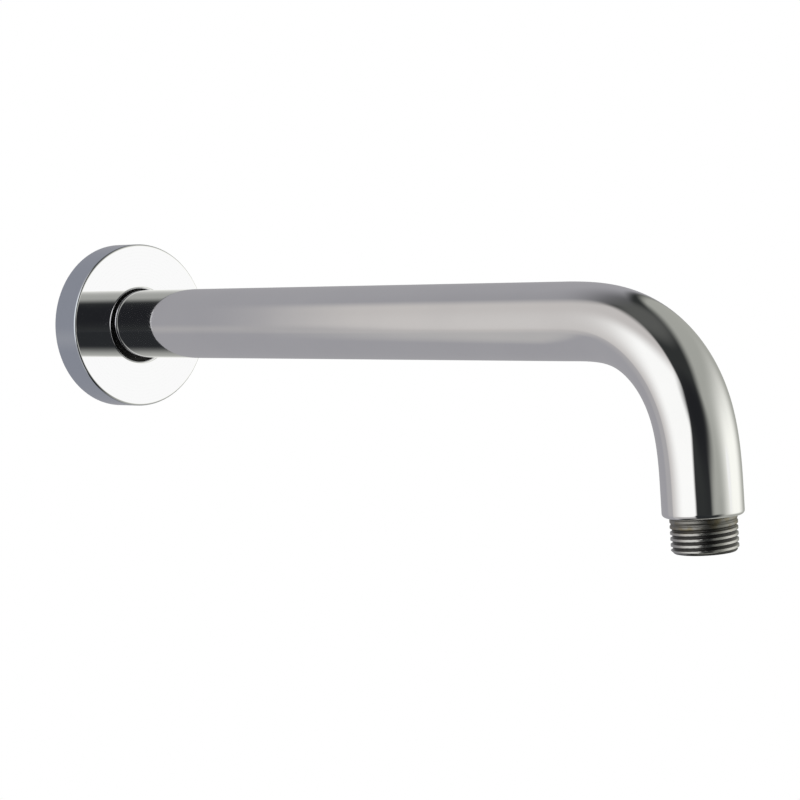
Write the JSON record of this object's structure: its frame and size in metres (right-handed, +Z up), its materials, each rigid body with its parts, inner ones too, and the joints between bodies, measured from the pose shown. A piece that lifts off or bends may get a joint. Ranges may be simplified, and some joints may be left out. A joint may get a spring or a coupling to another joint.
{
  "type": "shower arm",
  "caption": "Chromed wall-mounted shower arm: a straight tube that bends down to a male threaded outlet, with a loose round cover flange at the wall.",
  "frame": {"origin": "on the arm's axis at the finished wall, where the wall thread passes through the wall plane", "axes": "+X out of the wall along the arm, +Z up, the outlet points down along -Z, the arm is symmetrical about the plane Y = 0"},
  "size_m": [0.315, 0.06, 0.0993],
  "materials": {
    "chromed_tube": "polished brass tube, bright chrome plate",
    "chromed_flange": "turned and polished brass, bright chrome plate",
    "plated_thread": "cut thread with a thin, duller plate",
    "seal_rubber": "moulded black rubber"
  },
  "bodies": {
    "arm": {"arm_tube": "chromed_tube", "outlet_nipple": "plated_thread", "wall_nipple": "plated_thread"},
    "cover": {"wall_flange": "chromed_flange", "flange_ring": "seal_rubber"}
  },
  "joints": [
    {"name": "flange_slide", "type": "slide", "parent": "arm", "child": "cover", "axis": [1, 0, 0], "range_m": [0, 0.228]}
  ]
}
